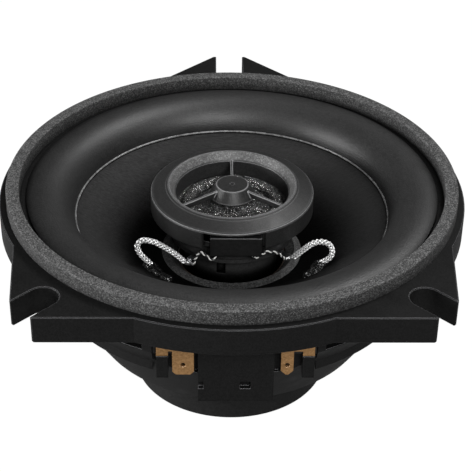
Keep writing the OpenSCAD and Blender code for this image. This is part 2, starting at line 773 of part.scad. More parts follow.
// A stamped blade: strip, hanging tab and the tab folded on the guard post
module blade(mid, w, bevel, post_x, far_x) {
    low_x = min(post_x, far_x);
    high_x = max(post_x + post_w, far_x);
    h = w / 2;
    difference() {
        translate([0, -blade_front + blade_t, 0]) rotate([90, 0, 0]) linear_extrude(blade_t) union() {
            translate([low_x, -strip_bottom]) square([high_x - low_x, strip_bottom - strip_top]);
            translate([post_x, -tab_bottom]) square([post_w, tab_bottom - strip_top]);
            polygon([
                [mid - h, -strip_top], [mid - h, -blade_reach + bevel], [mid - h + bevel, -blade_reach],
                [mid + h - bevel, -blade_reach], [mid + h, -blade_reach + bevel], [mid + h, -strip_top]
            ]);
        }
        rivet_places() disc_at(0, 0, bay_y - cut, rivet_r + hole_gap, 3 * board_t);
        translate([mid, 0, -blade_hole_z]) rotate([90, 0, 0])
            disc_at(0, 0, bay_y - cut, blade_hole_r, 3 * board_t);
    }
}

module terminal_wide() {
    color("#c08a4a") blade(wide_x, wide_blade_w, 0.8, left_post_x, wide_x + wide_blade_w / 2);
}

module terminal_narrow() {
    color("#c08a4a") blade(narrow_x, narrow_blade_w, 1.1, right_post_x, narrow_x - narrow_blade_w / 2);
}

module terminal_rivets() {
    front = blade_front + seat_gap;
    back = bay_y - bay_wall_t - seat_gap;
    color("#c9b37a") rivet_places() {
        disc_at(0, 0, back - rivet_head_h, rivet_r, front - back + 2 * rivet_head_h);
        disc_at(0, 0, front, rivet_head_r, rivet_head_h);
        disc_at(0, 0, back - rivet_head_h, rivet_head_r, rivet_head_h);
    }
}

module rear_tinsel_leads() {
    color("#b8bcc0") {
        lead(tinsel(wide_x, left_tinsel_end), tinsel_d, [1, 0, 0]);
        lead(tinsel(narrow_x, right_tinsel_end), tinsel_d, [1, 0, 0]);
    }
}

// ---- Tweeter ----

module tweeter_post() {
    color("#202123") difference() {
        disc_at(0, 0, pole_top + seat_gap, post_r, disc_bottom - pole_top - 2 * seat_gap);
        disc_at(0, 0, pole_top - cut, bolt_r + hole_gap, disc_bottom - pole_top + 2 * cut);
        disc_at(0, 0, disc_bottom - boss_h - 0.1, boss_r + 0.1, boss_h + cut);
        block([-keyway_left, -post_r - cut, -keyway_bottom],
              [-keyway_left + keyway_w, -post_r + 1.6, disc_bottom + cut]);
    }
}

module capacitor_space(gap) {
    block([capacitor_x - capacitor_w / 2 - gap, -capacitor_front - gap, capacitor_z - gap],
          [capacitor_x + capacitor_w / 2 + gap, -capacitor_front + capacitor_d + gap,
           capacitor_z + capacitor_h + gap]);
}

module tweeter_housing() {
    rim_top = bezel_base_z + housing_lip_h;
    color("#2a2b2d") difference() {
        rotate_extrude() polygon([
            [bolt_r + hole_gap, disc_bottom - boss_h], [boss_r, disc_bottom - boss_h],
            [boss_r, disc_bottom], [disc_r, disc_bottom], [disc_r, disc_top], [tier_r, disc_top],
            [tier_r, bezel_base_z], [bezel_r - bezel_skin - 0.1, bezel_base_z],
            [bezel_r - bezel_skin - 0.1, rim_top], [suspension_r + 0.1, rim_top],
            [suspension_r + 0.1, suspension_seat], [cup_in_r + cup_t + seat_gap, suspension_seat],
            [cup_in_r + cup_t + seat_gap, pocket_floor], [bolt_r + hole_gap, pocket_floor]
        ]);
        capacitor_space(seat_gap);
        block([capacitor_x - capacitor_w / 2 - seat_gap, -bezel_r, capacitor_z - seat_gap],
              [capacitor_x + capacitor_w / 2 + seat_gap, -capacitor_front + capacitor_d, bezel_top]);
    }
}

module tweeter_yoke() {
    low = pocket_floor + seat_gap;
    color("#9a9da1") rotate_extrude() polygon([
        [0, low], [cup_in_r + cup_t, low], [cup_in_r + cup_t, cup_top], [cup_in_r, cup_top],
        [cup_in_r, low + cup_base_t], [0, low + cup_base_t]
    ]);
}

module tweeter_magnet() {
    low = pocket_floor + 2 * seat_gap + cup_base_t;
    color("#c4c7cb") disc_at(0, 0, low, top_plate_r - magnet_inset, cup_top - top_plate_t - seat_gap - low);
}

module tweeter_top_plate() {
    color("#9a9da1") disc_at(0, 0, cup_top - top_plate_t, top_plate_r, top_plate_t);
}

module tweeter_voice_coil() {
    low = cup_top - top_plate_t - dome_travel - tweeter_gap;
    color("#a3501f") tube(tweeter_coil_r, tweeter_coil_r - tweeter_coil_t, low, dome_base - seat_gap);
}

module tweeter_dome() {
    ball_r = (pow(dome_r, 2) + pow(dome_h, 2)) / (2 * dome_h);
    skin = 0.25;
    color("#a8a9a6") intersection() {
        difference() {
            translate([0, 0, dome_base + dome_h - ball_r]) sphere(r = ball_r);
            translate([0, 0, dome_base + dome_h - ball_r]) sphere(r = ball_r - skin);
        }
        disc_at(0, 0, dome_base, dome_r + 1, dome_h + 1);
    }
}

module tweeter_suspension() {
    low = suspension_seat + seat_gap;
    r0 = dome_r + seat_gap;
    mid = (r0 + throat_r - 1) / 2;
    half = (throat_r - 1 - r0) / 2;
    outer = arc([mid, low], half, 180, 0, 10);
    inner = arc([mid, low], half - 0.3, 0, 180, 10);
    color("#3b3b3d") rotate_extrude() polygon(concat(
        outer, [[mid + half, low + suspension_t], [suspension_r, low + suspension_t], [suspension_r, low]],
        inner
    ));
}

module vanes() {
    for (a = vane_angles) rotate([0, 0, a]) rotate([90, 0, 0])
        translate([0, 0, -vane_t / 2]) linear_extrude(vane_t) polygon([
            [plug_top_r - 0.5, bezel_top - 0.9], [throat_r + 0.3, bezel_edge_z - 0.1],
            [throat_r + 0.3, bezel_edge_z - 1.5], [plug_top_r - 0.5, bezel_top - 2.2]
        ]);
}

module phase_plug() {
    top = bezel_top - 0.25;
    rotate_extrude() polygon([
        [0.3, top - 0.5], [0.45, top], [plug_top_r, top], [plug_top_r + 0.15, top - 0.15],
        [plug_skirt_r, top - plug_h + 0.3], [plug_skirt_r, top - plug_h], [0, top - plug_h + 0.6],
        [0, top - 0.5]
    ]);
}

module bezel_ring() {
    edge = bezel_edge_z;
    in_r = bezel_r - bezel_skin;
    rotate_extrude() polygon([
        [bezel_r, bezel_base_z], [bezel_r, edge - 0.4], [bezel_r - 0.15, edge - 0.08],
        [bezel_r - 0.5, edge + 0.15], [bezel_lip_r + 0.7, bezel_top - 0.45],
        [bezel_lip_r + 0.2, bezel_top - 0.08], [bezel_lip_r - 0.1, bezel_top],
        [bezel_lip_r - 0.4, bezel_top - 0.15], [throat_r, edge - 0.3],
        [throat_r - 0.3, suspension_seat + suspension_t + 2 * seat_gap],
        [suspension_r, suspension_seat + suspension_t + 2 * seat_gap],
        [suspension_r, edge - 1.2], [in_r - 0.8, edge - 0.8], [in_r, edge - 1.4], [in_r, bezel_base_z]
    ]);
}

module tweeter_bezel() {
    color("#2f3032") {
        difference() {
            bezel_ring();
            block([-notch_left, -bezel_r - cut, bezel_base_z - cut],
                  [notch_right, -bezel_r + 2.6, bezel_edge_z - 0.5]);
        }
        vanes();
        phase_plug();
    }
}

module crossover_capacitor() {
    color("#1c1d20") capacitor_space(0);
}

// ---- Leads ----

module tweeter_wires() {
    color("#d8d8d4") {
        lead(left_pair, pair_d, [0.3, 0.2, -1]);
        lead(right_pair, pair_d, [0.3, -0.2, 1]);
    }
}

// A soldered joint under the pedestal disc, on a short tag
module lead_tag(at) {
    low = at[2] - tag_r;
    disc_at(at[0], at[1], low, tag_r, disc_bottom - tag_t / 2 - low);
    rotate([0, 0, atan2(at[1], at[0])])
        block([disc_r - tag_root, -tag_w / 2, disc_bottom - tag_t],
              [norm([at[0], at[1]]) + 0.1, tag_w / 2, disc_bottom]);
}

module lead_tags() {
    color("#b9bcc0") {
        lead_tag(left_tag);
        lead_tag(right_tag);
    }
}

module braided_lead_left() {
    color("#d2d4d6") lead(left_braid, braid_d, [0, 1, 0]);
}

module braided_lead_right() {
    color("#d2d4d6") lead(right_braid, braid_d, [0, 1, 0]);
}

// Glue over the end of a braided lead: lumps cut to the cone's surface, bored for the lead
module glue_dot(lumps, route) {
    d = unit(route[1] - route[0]);
    difference() {
        for (g = lumps) let (p = [route[0][0] + g[0], route[0][1] + g[1]])
            translate([p[0], p[1], cone_z(norm(p))]) sphere(r = g[2]);
        rotate_extrude() polygon([
            [0, cone_z(0) + seat_gap], [cone_out_r, cone_z(cone_out_r) + seat_gap],
            [cone_out_r, cone_z(0) - glue_under], [0, cone_z(0) - glue_under]
        ]);
        translate(route[0] - glue_bore * d) rotate([0, acos(d[2]), atan2(d[1], d[0])])
            cylinder(r = braid_d / 2 + glue_bore, h = 4 * braid_d);
    }
}

module glue_dots() {
    color("#0e0e10") {
        glue_dot(left_glue, left_braid);
        glue_dot(right_glue, right_braid);
    }
}

basket_frame();
front_gasket();
surround();
cone();
neck_collar();
voice_coil_former();
voice_coil_winding();
spider();
front_plate();
ring_magnet();
pole_yoke();
magnet_boot();
motor_screws();
terminal_board();
terminal_wide();
terminal_narrow();
terminal_rivets();
rear_tinsel_leads();
tweeter_post();
tweeter_housing();
centre_bolt();
tweeter_yoke();
tweeter_magnet();
tweeter_top_plate();
tweeter_voice_coil();
tweeter_dome();
tweeter_suspension();
tweeter_bezel();
crossover_capacitor();
tweeter_wires();
lead_tags();
braided_lead_left();
braided_lead_right();
glue_dots();
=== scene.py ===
import math

import bpy
import numpy as np
from mathutils import Matrix, Vector, noise


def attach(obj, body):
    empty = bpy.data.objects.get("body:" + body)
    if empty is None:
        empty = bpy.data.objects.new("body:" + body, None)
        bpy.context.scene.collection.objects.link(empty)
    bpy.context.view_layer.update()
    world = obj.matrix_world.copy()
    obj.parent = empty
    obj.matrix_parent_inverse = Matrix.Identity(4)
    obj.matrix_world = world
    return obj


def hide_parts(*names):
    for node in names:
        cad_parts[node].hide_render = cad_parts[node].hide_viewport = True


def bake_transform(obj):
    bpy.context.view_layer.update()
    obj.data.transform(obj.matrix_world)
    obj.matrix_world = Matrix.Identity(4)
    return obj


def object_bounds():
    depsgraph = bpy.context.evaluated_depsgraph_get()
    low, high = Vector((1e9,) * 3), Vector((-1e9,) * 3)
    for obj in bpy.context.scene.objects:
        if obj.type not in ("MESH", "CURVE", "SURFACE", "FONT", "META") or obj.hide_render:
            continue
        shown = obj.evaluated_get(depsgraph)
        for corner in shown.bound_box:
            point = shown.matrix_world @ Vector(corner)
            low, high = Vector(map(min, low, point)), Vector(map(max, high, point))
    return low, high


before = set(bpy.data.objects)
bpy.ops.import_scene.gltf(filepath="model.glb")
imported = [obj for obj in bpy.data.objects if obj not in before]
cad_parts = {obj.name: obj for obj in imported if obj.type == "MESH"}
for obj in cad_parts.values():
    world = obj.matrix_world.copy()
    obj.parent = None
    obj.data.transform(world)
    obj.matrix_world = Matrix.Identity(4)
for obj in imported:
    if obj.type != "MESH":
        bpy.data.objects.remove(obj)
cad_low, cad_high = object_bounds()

# ---- Camera ----------------------------------------------------------------------------
# A long lens stands in front of the speaker, a third of a metre away, and looks down at it
# by about 34 degrees, turned and tilted by a degree, as the product was photographed.

camera_place = (-0.00585, -0.2942, 0.19135)
camera_yaw, camera_pitch, camera_roll = 1.35, 33.955, 0.9
camera_lens, camera_sensor, camera_clip = 110.75, 36, 0.01


def place_camera():
    yaw, pitch, roll = (math.radians(a) for a in (camera_yaw, camera_pitch, camera_roll))
    forward = Vector((math.sin(yaw) * math.cos(pitch), math.cos(yaw) * math.cos(pitch),
                      -math.sin(pitch)))
    level = Vector((math.cos(yaw), -math.sin(yaw), 0))
    upright = level.cross(forward)
    right = level * math.cos(roll) + upright * math.sin(roll)
    up = upright * math.cos(roll) - level * math.sin(roll)
    lens = bpy.data.cameras.new("camera")
    lens.sensor_fit = "HORIZONTAL"
    lens.sensor_width = camera_sensor
    lens.lens = camera_lens
    lens.clip_start = camera_clip
    camera = bpy.data.objects.new("camera", lens)
    axes = Matrix((right, up, -forward)).transposed()
    camera.matrix_world = Matrix.Translation(camera_place) @ axes.to_4x4()
    bpy.context.scene.collection.objects.link(camera)
    bpy.context.scene.camera = camera


place_camera()

# ---- Leads in front of the cone --------------------------------------------------------
# Two flexible leads braided from tinned copper carry the signal from the cone to the tweeter.
# Each is glued to the cone at one end and soldered under the tweeter at the other.

MM = 0.001
left_braid = [
    (-18.9, -13.6, -6.3), (-19.7, -13.8, -5), (-21.5, -14, -2.7), (-22.3, -14, -0.6),
    (-21.8, -14, 0.8), (-20.7, -14, 1.4), (-19.1, -14, 1.1), (-17.6, -14, 0.5),
    (-14.5, -13.6, -1.9), (-12.3, -13, -4.3), (-11.25, -12.65, -5.7),
]
right_braid = [
    (20.7, -13.6, -5.4), (21.6, -13.8, -4.7), (23, -14, -3.3), (23.4, -14, -1.6),
    (22.7, -14, 0.2), (21.1, -14, 1), (19.3, -14, 0.8), (17.9, -13.8, -0.2),
    (15.8, -12.8, -2.9), (14.6, -11.9, -4.7),
]
braid_width, braid_step, braid_sides = 1.5, 0.13, 6


def smooth_route(points, step):
    """Points about one step apart on a smooth curve through the given ones, in millimetres."""
    p = [Vector(q) for q in points]
    p = [p[0] * 2 - p[1]] + p + [p[-1] * 2 - p[-2]]
    fine = []
    for a, b, c, d in zip(p, p[1:], p[2:], p[3:]):
        for t in np.linspace(0, 1, 24, endpoint=False):
            fine.append(0.5 * (2 * b + (c - a) * t + (2 * a - 5 * b + 4 * c - d) * t**2
                               + (3 * b - a - 3 * c + d) * t**3))
    fine = np.array(fine + [p[-2]])
    far = np.concatenate([[0], np.cumsum(np.linalg.norm(np.diff(fine, axis=0), axis=1))])
    count = max(4, round(far[-1] / step))
    at = np.linspace(0, far[-1], count + 1)
    return np.stack([np.interp(at, far, fine[:, k]) for k in range(3)], 1), at


def carried_axes(route):
    """Side and upright of a route, carried along it without any twist."""
    tangent = np.gradient(route, axis=0)
    tangent /= np.linalg.norm(tangent, axis=1)[:, None]
    side = np.cross(tangent[0], (0.3, 0.5, 0.81))
    sides = []
    for t in tangent:
        side = side - t * (side @ t)
        side = side / np.linalg.norm(side)
        sides.append(side)
    sides = np.array(sides)
    return sides, np.cross(tangent, sides)


def wound(route, angle, reach):
    """A line that winds round a route, at an angle and a reach for each of its points."""
    side, upright = carried_axes(route)
    outward = np.cos(angle)[:, None] * side + np.sin(angle)[:, None] * upright
    return route + np.reshape(reach, (-1, 1)) * outward


class Shape:
    """Vertices, faces and each vertex's share of the moving body, gathered for one mesh."""

    def __init__(self):
        self.points, self.faces, self.shares, self.count = [], [], [], 0

    def add(self, points, faces, share=0.0):
        points = np.asarray(points, float).reshape(-1, 3)
        self.points.append(points)
        self.faces += [[i + self.count for i in f] for f in faces]
        self.shares.append(np.broadcast_to(np.asarray(share, float), len(points)).copy())
        self.count += len(points)

    def build(self, name, sharp=40):
        mesh = bpy.data.meshes.new(name)
        mesh.from_pydata([tuple(p * MM) for p in np.concatenate(self.points)], [], self.faces)
        mesh.validate()
        mesh.shade_smooth()
        mesh.set_sharp_from_angle(angle=math.radians(sharp))
        piece = bpy.data.objects.new(name, mesh)
        bpy.context.scene.collection.objects.link(piece)
        return piece


def add_strand(shape, centre, radius, sides, shares=0.0):
    """A thin round strand along its own centre line, closed at both ends."""
    side, upright = carried_axes(centre)
    turn = np.arange(sides) * 2 * math.pi / sides
    rings = (centre[:, None] + radius * (np.cos(turn)[None, :, None] * side[:, None]
                                         + np.sin(turn)[None, :, None] * upright[:, None]))
    last = (len(centre) - 1) * sides
    faces = [[i * sides + k, i * sides + (k + 1) % sides, (i + 1) * sides + (k + 1) % sides,
              (i + 1) * sides + k] for i in range(len(centre) - 1) for k in range(sides)]
    faces += [list(range(sides))[::-1], [last + k for k in range(sides)]]
    shape.add(rings, faces, np.repeat(np.broadcast_to(shares, len(centre)), sides))


def eased(t):
    """A share that leaves 0 and reaches 1 gently."""
    return t * t * (3 - 2 * t)


def braid(points, width, ends):
    """A round braid of six strands on a core; ends holds its share of the cone at each end."""
    route, at = smooth_route(points, braid_step)
    share = ends[0] + (ends[1] - ends[0]) * eased(at / at[-1])
    strand_r, reach, wave, pitch = 0.14 * width, 0.28 * width, 0.08 * width, 1.9 * width
    shape = Shape()
    add_strand(shape, route, strand_r, braid_sides, share)
    for turn in (1, -1):
        for k in range(3):
            angle = turn * 2 * math.pi * at / pitch + k * 2 * math.pi / 3
            line = wound(route, angle, reach + turn * wave * np.cos(3 * angle))
            add_strand(shape, line, strand_r, braid_sides, share)
    return shape


def bend_between(piece):
    """Bakes the piece's placement into its mesh; its shares of the moving body are not used."""
    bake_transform(piece)


def start_material(name):
    material = bpy.data.materials.new(name)
    material.use_nodes = True
    return material, material.node_tree, material.node_tree.nodes["Principled BSDF"]


def add(tree, kind, inputs=None, **settings):
    """A node with its settings; an input takes a plain value or another node's socket."""
    node = tree.nodes.new(kind)
    for key, value in settings.items():
        setattr(node, key, value)
    for key, value in (inputs or {}).items():
        if isinstance(value, bpy.types.NodeSocket):
            tree.links.new(value, node.inputs[key])
        else:
            node.inputs[key].default_value = value
    return node


def ramp(tree, source, *stops):
    """A colour ramp over (place, grey or colour) stops."""
    node = add(tree, "ShaderNodeValToRGB", {"Fac": source})
    elements = node.color_ramp.elements
    while len(elements) < len(stops):
        elements.new(0.5)
    for element, (place, colour) in zip(elements, stops):
        element.position = place
        element.color = (*(colour if isinstance(colour, tuple) else (colour,) * 3), 1)
    return node.outputs["Color"]


def mixed(tree, share, first, second, mode="MIX"):
    """The first colour, covered or multiplied by the second one by its share."""
    return add(tree, "ShaderNodeMix", {"Factor": share, "A": first, "B": second},
               data_type="RGBA", blend_type=mode).outputs["Result"]


def darkened(tree, colour, shade):
    return mixed(tree, 1.0, colour, shade, "MULTIPLY")


def start_group(name, takes, gives):
    """A shader node group; takes maps input names to first values, gives names the outputs."""
    kinds = {float: "NodeSocketFloat", tuple: "NodeSocketColor", str: "NodeSocketVector"}
    group = bpy.data.node_groups.new(name, "ShaderNodeTree")
    for key, value in takes.items():
        socket = group.interface.new_socket(name=key, in_out="INPUT",
                                            socket_type=kinds[type(value)])
        if not isinstance(value, str):
            socket.default_value = value
    for key, kind in gives.items():
        group.interface.new_socket(name=key, in_out="OUTPUT", socket_type=kinds[kind])
    inner = add(group, "NodeGroupInput")
    return group, inner.outputs, add(group, "NodeGroupOutput").inputs


def scaled_place(group, given, full, size):
    """The given points, so scaled that a size of the pattern spans full."""
    scale = add(group, "ShaderNodeMath", {0: full, 1: given[size]}, operation="DIVIDE")
    return add(group, "ShaderNodeVectorMath",
               {0: given["Vector"], "Scale": scale.outputs[0]}, operation="SCALE").outputs[0]


def make_speckle():
    """Small random grains: a height and a mask, from points in metres and a size in mm."""
    group, given, result = start_group("speckle", {"Vector": "", "Size": 0.3},
                                       {"Height": float, "Mask": float})
    place = scaled_place(group, given, 1 / MM, "Size")
    cells = add(group, "ShaderNodeTexVoronoi", {"Vector": place, "Scale": 1.0})
    cloud = add(group, "ShaderNodeTexNoise", {"Vector": place, "Scale": 0.7, "Detail": 4.0})
    both = add(group, "ShaderNodeMath",
               {0: cells.outputs["Distance"], 1: cloud.outputs["Fac"]}, operation="ADD")
    grey = add(group, "ShaderNodeSeparateColor", {"Color": cells.outputs["Color"]})
    group.links.new(both.outputs[0], result["Height"])
    group.links.new(grey.outputs[0], result["Mask"])
    return group


def make_creases():
    """How open a place lies, 0 deep in a crease and 1 in the open, within a reach in metres."""
    group, given, result = start_group("creases", {"Reach": 0.003}, {"Mask": float})
    air = add(group, "ShaderNodeAmbientOcclusion", {"Distance": given["Reach"]}, samples=8)
    group.links.new(air.outputs["AO"], result["Mask"])
    return group


speckle = make_speckle()
creases = make_creases()


def pattern(tree, group, socket, size):
    """The outputs of a pattern's group, laid on the piece's own coordinates."""
    place = add(tree, "ShaderNodeTexCoord")
    return add(tree, "ShaderNodeGroup", {"Vector": place.outputs["Object"], socket: size},
               node_tree=group).outputs


def grains(tree, size):
    return pattern(tree, speckle, "Size", size)


def in_creases(tree, reach, *stops):
    """A ramp over how open each place of the surface lies, within a reach in millimetres."""
    node = add(tree, "ShaderNodeGroup", {"Reach": reach * MM}, node_tree=creases)
    return ramp(tree, node.outputs["Mask"], *stops)


def coat(tree, shader, colour, gloss, height, strength, depth, normal=None):
    """Links colour and roughness to the shader, and a bump whose depth is in millimetres."""
    tree.links.new(colour, shader.inputs["Base Color"])
    tree.links.new(gloss, shader.inputs["Roughness"])
    given = {"Height": height, "Strength": strength, "Distance": depth * MM}
    if normal is not None:
        given["Normal"] = normal
    tree.links.new(add(tree, "ShaderNodeBump", given).outputs[0], shader.inputs["Normal"])


def tinned_copper():
    material, tree, shader = start_material("tinned_copper")
    fine = grains(tree, 0.12)
    tone = ramp(tree, fine["Mask"], (0.0, 0.55), (0.5, 0.85), (1.0, 0.97))
    # Painted shade: the gaps between the strands are darkened.
    shade = in_creases(tree, 0.5, (0.3, 0.05), (0.72, 1.0))
    coat(tree, shader, darkened(tree, tone, shade),
         ramp(tree, fine["Mask"], (0.0, 0.5), (1.0, 0.25)),
         fine["Height"], strength=0.3, depth=0.03)
    shader.inputs["Metallic"].default_value = 0.6
    return material


braid_metal = tinned_copper()
for side_name, points in (("left", left_braid), ("right", right_braid)):
    shape = braid(points, braid_width, (1, 0))
    piece = shape.build("braid_" + side_name, sharp=70)
    piece.data.materials.append(braid_metal)
    bend_between(piece)
    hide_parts("braided_lead_" + side_name)

# ---- Twisted wires to the tweeter ------------------------------------------------------
# From each soldered joint a thin pair, one black wire and one white, runs twisted along the
# foot of the tweeter to its capacitor. The insulation is soft plastic.

left_pair = [
    (-9.1, -13.9, -5.5), (-8.9, -14.2, -4.3), (-8.3, -14.9, -2.2), (-7.6, -15.2, -1.2),
    (-6.6, -15.7, -1.4), (-5.4, -16.2, -2.2), (-4.4, -16.5, -2.4), (-4, -16.5, -1.2),
]
right_pair = [
    (12.5, -12.4, -5), (11.9, -13.2, -3.9), (10.5, -14.2, -2), (8.2, -15, -1.1),
    (7.1, -15.5, -1.3), (5.6, -16.2, -1.9), (4.8, -16.5, -1.7), (4.7, -16.5, -1.2),
]
pair_step, pair_pitch, pair_reach, wire_r, wire_sides = 0.15, 1.8, 0.18, 0.17, 10


def grained(name, grain, tones, gloss, strength, depth, metal=0.0):
    """A finish of small grains; tones and gloss are (low, high), the grain and depth in mm."""
    material, tree, shader = start_material(name)
    fine = grains(tree, grain)
    coat(tree, shader, ramp(tree, fine["Mask"], (0.0, tones[0]), (1.0, tones[1])),
         ramp(tree, fine["Mask"], (0.0, gloss[0]), (1.0, gloss[1])),
         fine["Height"], strength, depth)
    shader.inputs["Metallic"].default_value = metal
    return material


wire_tones = {
    "white": ((0.5, 0.5, 0.48), (0.75, 0.75, 0.73)),
    "black": ((0.008, 0.008, 0.009), (0.02, 0.02, 0.022)),
}
wire_finishes = {
    colour: grained(colour + "_wire", grain=0.4, tones=tones, gloss=(0.28, 0.42),
                    strength=0.15, depth=0.03)
    for colour, tones in wire_tones.items()
}
for side_name, points in (("left", left_pair), ("right", right_pair)):
    route, at = smooth_route(points, pair_step)
    for k, colour in enumerate(wire_finishes):
        angle = 2 * math.pi * at / pair_pitch + k * math.pi
        shape = Shape()
        add_strand(shape, wound(route, angle, pair_reach), wire_r, wire_sides)
        piece = shape.build("wire_%s_%s" % (colour, side_name), sharp=70)
        piece.data.materials.append(wire_finishes[colour])
        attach(piece, "frame")
        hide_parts("tweeter_wires")

# ---- Solder joints under the tweeter ---------------------------------------------------
# A small tinned tag reaches out from under the pedestal on each side. Braid and wires meet on
# its pin in a bead of solder, drawn out along both by the hot iron.

left_tag = (-10.2, -12.9, -5.75)
right_tag = (13.6, -11.6, -5.2)
tag_bead_r, braid_bead_r, pair_bead_r = 0.62, 0.72, 0.5
solder_cell, solder_rounds = 0.12, 3


def add_ball(shape, centre, radii, steps=16):
    """A ball with its own radius along each axis, drawn as stacked rings."""
    rings = steps // 2
    points = [Vector((0, 0, 1))]
    for i in range(1, rings):
        a = math.pi * i / rings
        points += [Vector((math.sin(a) * math.cos(2 * math.pi * k / steps),
                           math.sin(a) * math.sin(2 * math.pi * k / steps),
                           math.cos(a))) for k in range(steps)]
    points.append(Vector((0, 0, -1)))
    faces = [[0, 1 + k, 1 + (k + 1) % steps] for k in range(steps)]
    for i in range(rings - 2):
        for k in range(steps):
            a, b = 1 + i * steps + k, 1 + i * steps + (k + 1) % steps
            faces.append([a, a + steps, b + steps, b])
    first, last = 1 + (rings - 2) * steps, len(points) - 1
    faces += [[last, first + (k + 1) % steps, first + k] for k in range(steps)]
    shape.add([[centre[j] + p[j] * radii[j] for j in range(3)] for p in points], faces)


def fuse(piece, cell, rounds):
    """Joins the overlapping lumps of a piece into one skin and softens it."""
    remesh = piece.modifiers.new("fuse", "REMESH")
    remesh.mode = "VOXEL"
    remesh.voxel_size = cell * MM
    soften = piece.modifiers.new("soften", "SMOOTH")
    soften.factor = 0.5
    soften.iterations = rounds
    bpy.context.view_layer.update()
    settled = piece.evaluated_get(bpy.context.evaluated_depsgraph_get())
    fused = bpy.data.meshes.new_from_object(settled)
    piece.modifiers.clear()
    piece.data = fused
    fused.shade_smooth()
    return piece


solder = grained("solder", grain=0.5, tones=(0.42, 0.62), gloss=(0.22, 0.45),
                 strength=0.4, depth=0.1, metal=0.9)
for side_name, tag, braid_end, pair_end in (
    ("left", left_tag, left_braid[-1], left_pair[0]),
    ("right", right_tag, right_braid[-1], right_pair[0]),
):
    shape = Shape()
    add_ball(shape, tag, (tag_bead_r,) * 3)
    for end, radius in ((braid_end, braid_bead_r), (pair_end, pair_bead_r)):
        for t in (0.4, 0.75):
            taper = 1.05 - 0.25 * t
            add_ball(shape, [a + (b - a) * t for a, b in zip(tag, end)], (radius * taper,) * 3)
    piece = fuse(shape.build("solder_joint_" + side_name), solder_cell, solder_rounds)
    piece.data.materials.append(solder)
    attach(piece, "frame")

# ---- Moulded frame ---------------------------------------------------------------------
# One piece of glass-filled black plastic: flange, three slotted ears, spigot, bowl and the
# column at the terminals. The mould leaves a fine satin grain; the edges carry a painted highlight.

upward_gain = 2.5
broad_grains = 28


def make_edge_highlight_mask():
    """Rounded edges, and a painted highlight on those that face up, from their radius in metres."""
    group, given, result = start_group(
        "edge_highlight_mask", {"Radius": 0.0002, "Gain": 6.0}, {"Mask": float, "Normal": str})
    round_edge = add(group, "ShaderNodeBevel", {"Radius": given["Radius"]}, samples=6)
    flat = add(group, "ShaderNodeNewGeometry")
    same = add(group, "ShaderNodeVectorMath",
               {0: round_edge.outputs[0], 1: flat.outputs["Normal"]}, operation="DOT_PRODUCT")
    off = add(group, "ShaderNodeMath", {0: 1.0, 1: same.outputs["Value"]}, operation="SUBTRACT")
    mask = add(group, "ShaderNodeMath", {0: off.outputs[0], 1: given["Gain"]},
               operation="MULTIPLY", use_clamp=True)
    # The painted highlight is strongest on edges that face up, as if lit from above.
    facing = add(group, "ShaderNodeSeparateXYZ", {"Vector": round_edge.outputs[0]})
    upper = add(group, "ShaderNodeMath", {0: facing.outputs["Z"], 1: upward_gain},
                operation="MULTIPLY", use_clamp=True)
    highlighted = add(group, "ShaderNodeMath", {0: mask.outputs[0], 1: upper.outputs[0]},
                 operation="MULTIPLY")
    group.links.new(highlighted.outputs[0], result["Mask"])
    group.links.new(round_edge.outputs[0], result["Normal"])
    return group


edge_highlight_mask = make_edge_highlight_mask()


def shadowed(tree, shader, colour, reach, deep, shallow, dark, dull=1.0):
    """Painted shade: the colour darkened in creases, down to a share of it, and the sheen taken away
    there by a black metallic value.
    """
    sheen_off = in_creases(tree, reach, (deep, dull), (shallow, 0.0))
    tree.links.new(sheen_off, shader.inputs["Metallic"])
    return darkened(tree, colour, in_creases(tree, reach, (deep, dark), (shallow, 1.0)))


def moulded(name, tones, highlight_colour, gloss, grain, depth, edge=0.2, gain=6.0, metal=0.0, level=0.3,
            nook=0.0):
    """A solid finish with a fine grain; grain, depth, edge and nook are in millimetres.

    Tones and gloss are (low, high); the edge colour is a painted highlight along the edges. Places
    closed in on all sides within the nook's reach turn dark and dull as painted shade.
    """
    material, tree, shader = start_material(name)
    edges = add(tree, "ShaderNodeGroup", {"Radius": edge * MM, "Gain": gain},
                node_tree=edge_highlight_mask).outputs
    fine = grains(tree, grain)
    broad = grains(tree, broad_grains * grain)
    base = ramp(tree, fine["Mask"], (0.0, tones[0]), (1.0, tones[1]))
    # Painted highlight: the edge colour covers the base colour along the edges.
    finish = mixed(tree, edges["Mask"], base, (*highlight_colour, 1))
    shader.inputs["Specular IOR Level"].default_value = level
    # Painted shade: within the nook's reach, closed-in places go dark and lose their sheen.
    if nook:
        finish = shadowed(tree, shader, finish, nook, deep=0.4, shallow=0.8, dark=0.05)
    coat(tree, shader, finish, ramp(tree, broad["Height"], (0.3, gloss[0]), (1.0, gloss[1])),
         fine["Height"], 0.5, depth, edges["Normal"])
    shader.inputs["Metallic"].default_value = metal
    return material


def dress(material, *nodes):
    """Gives CAD solids, whose shape stays, this finish."""
    for node in nodes:
        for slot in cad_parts[node].material_slots:
            slot.material = material


dress(moulded("satin_black_plastic", tones=(0.003, 0.008), highlight_colour=(0.14, 0.14, 0.145),
              gloss=(0.36, 0.5), grain=0.22, depth=0.03, edge=0.22, gain=7.0, level=0.13),
      "basket_frame")

# ---- Foam gasket -----------------------------------------------------------------------
# A ring of dark grey closed-cell foam, stamped and stuck on the flange's rim. Its cells show
# as a fine speckle and its cut edges are a little rounded.

gasket_inner, gasket_outer = 50.4, 53.5
gasket_foot, gasket_top = 6.7, 10.25
gasket_outer_round, gasket_inner_round, gasket_foot_round = 0.5, 0.4, 0.08
ring_steps = 256


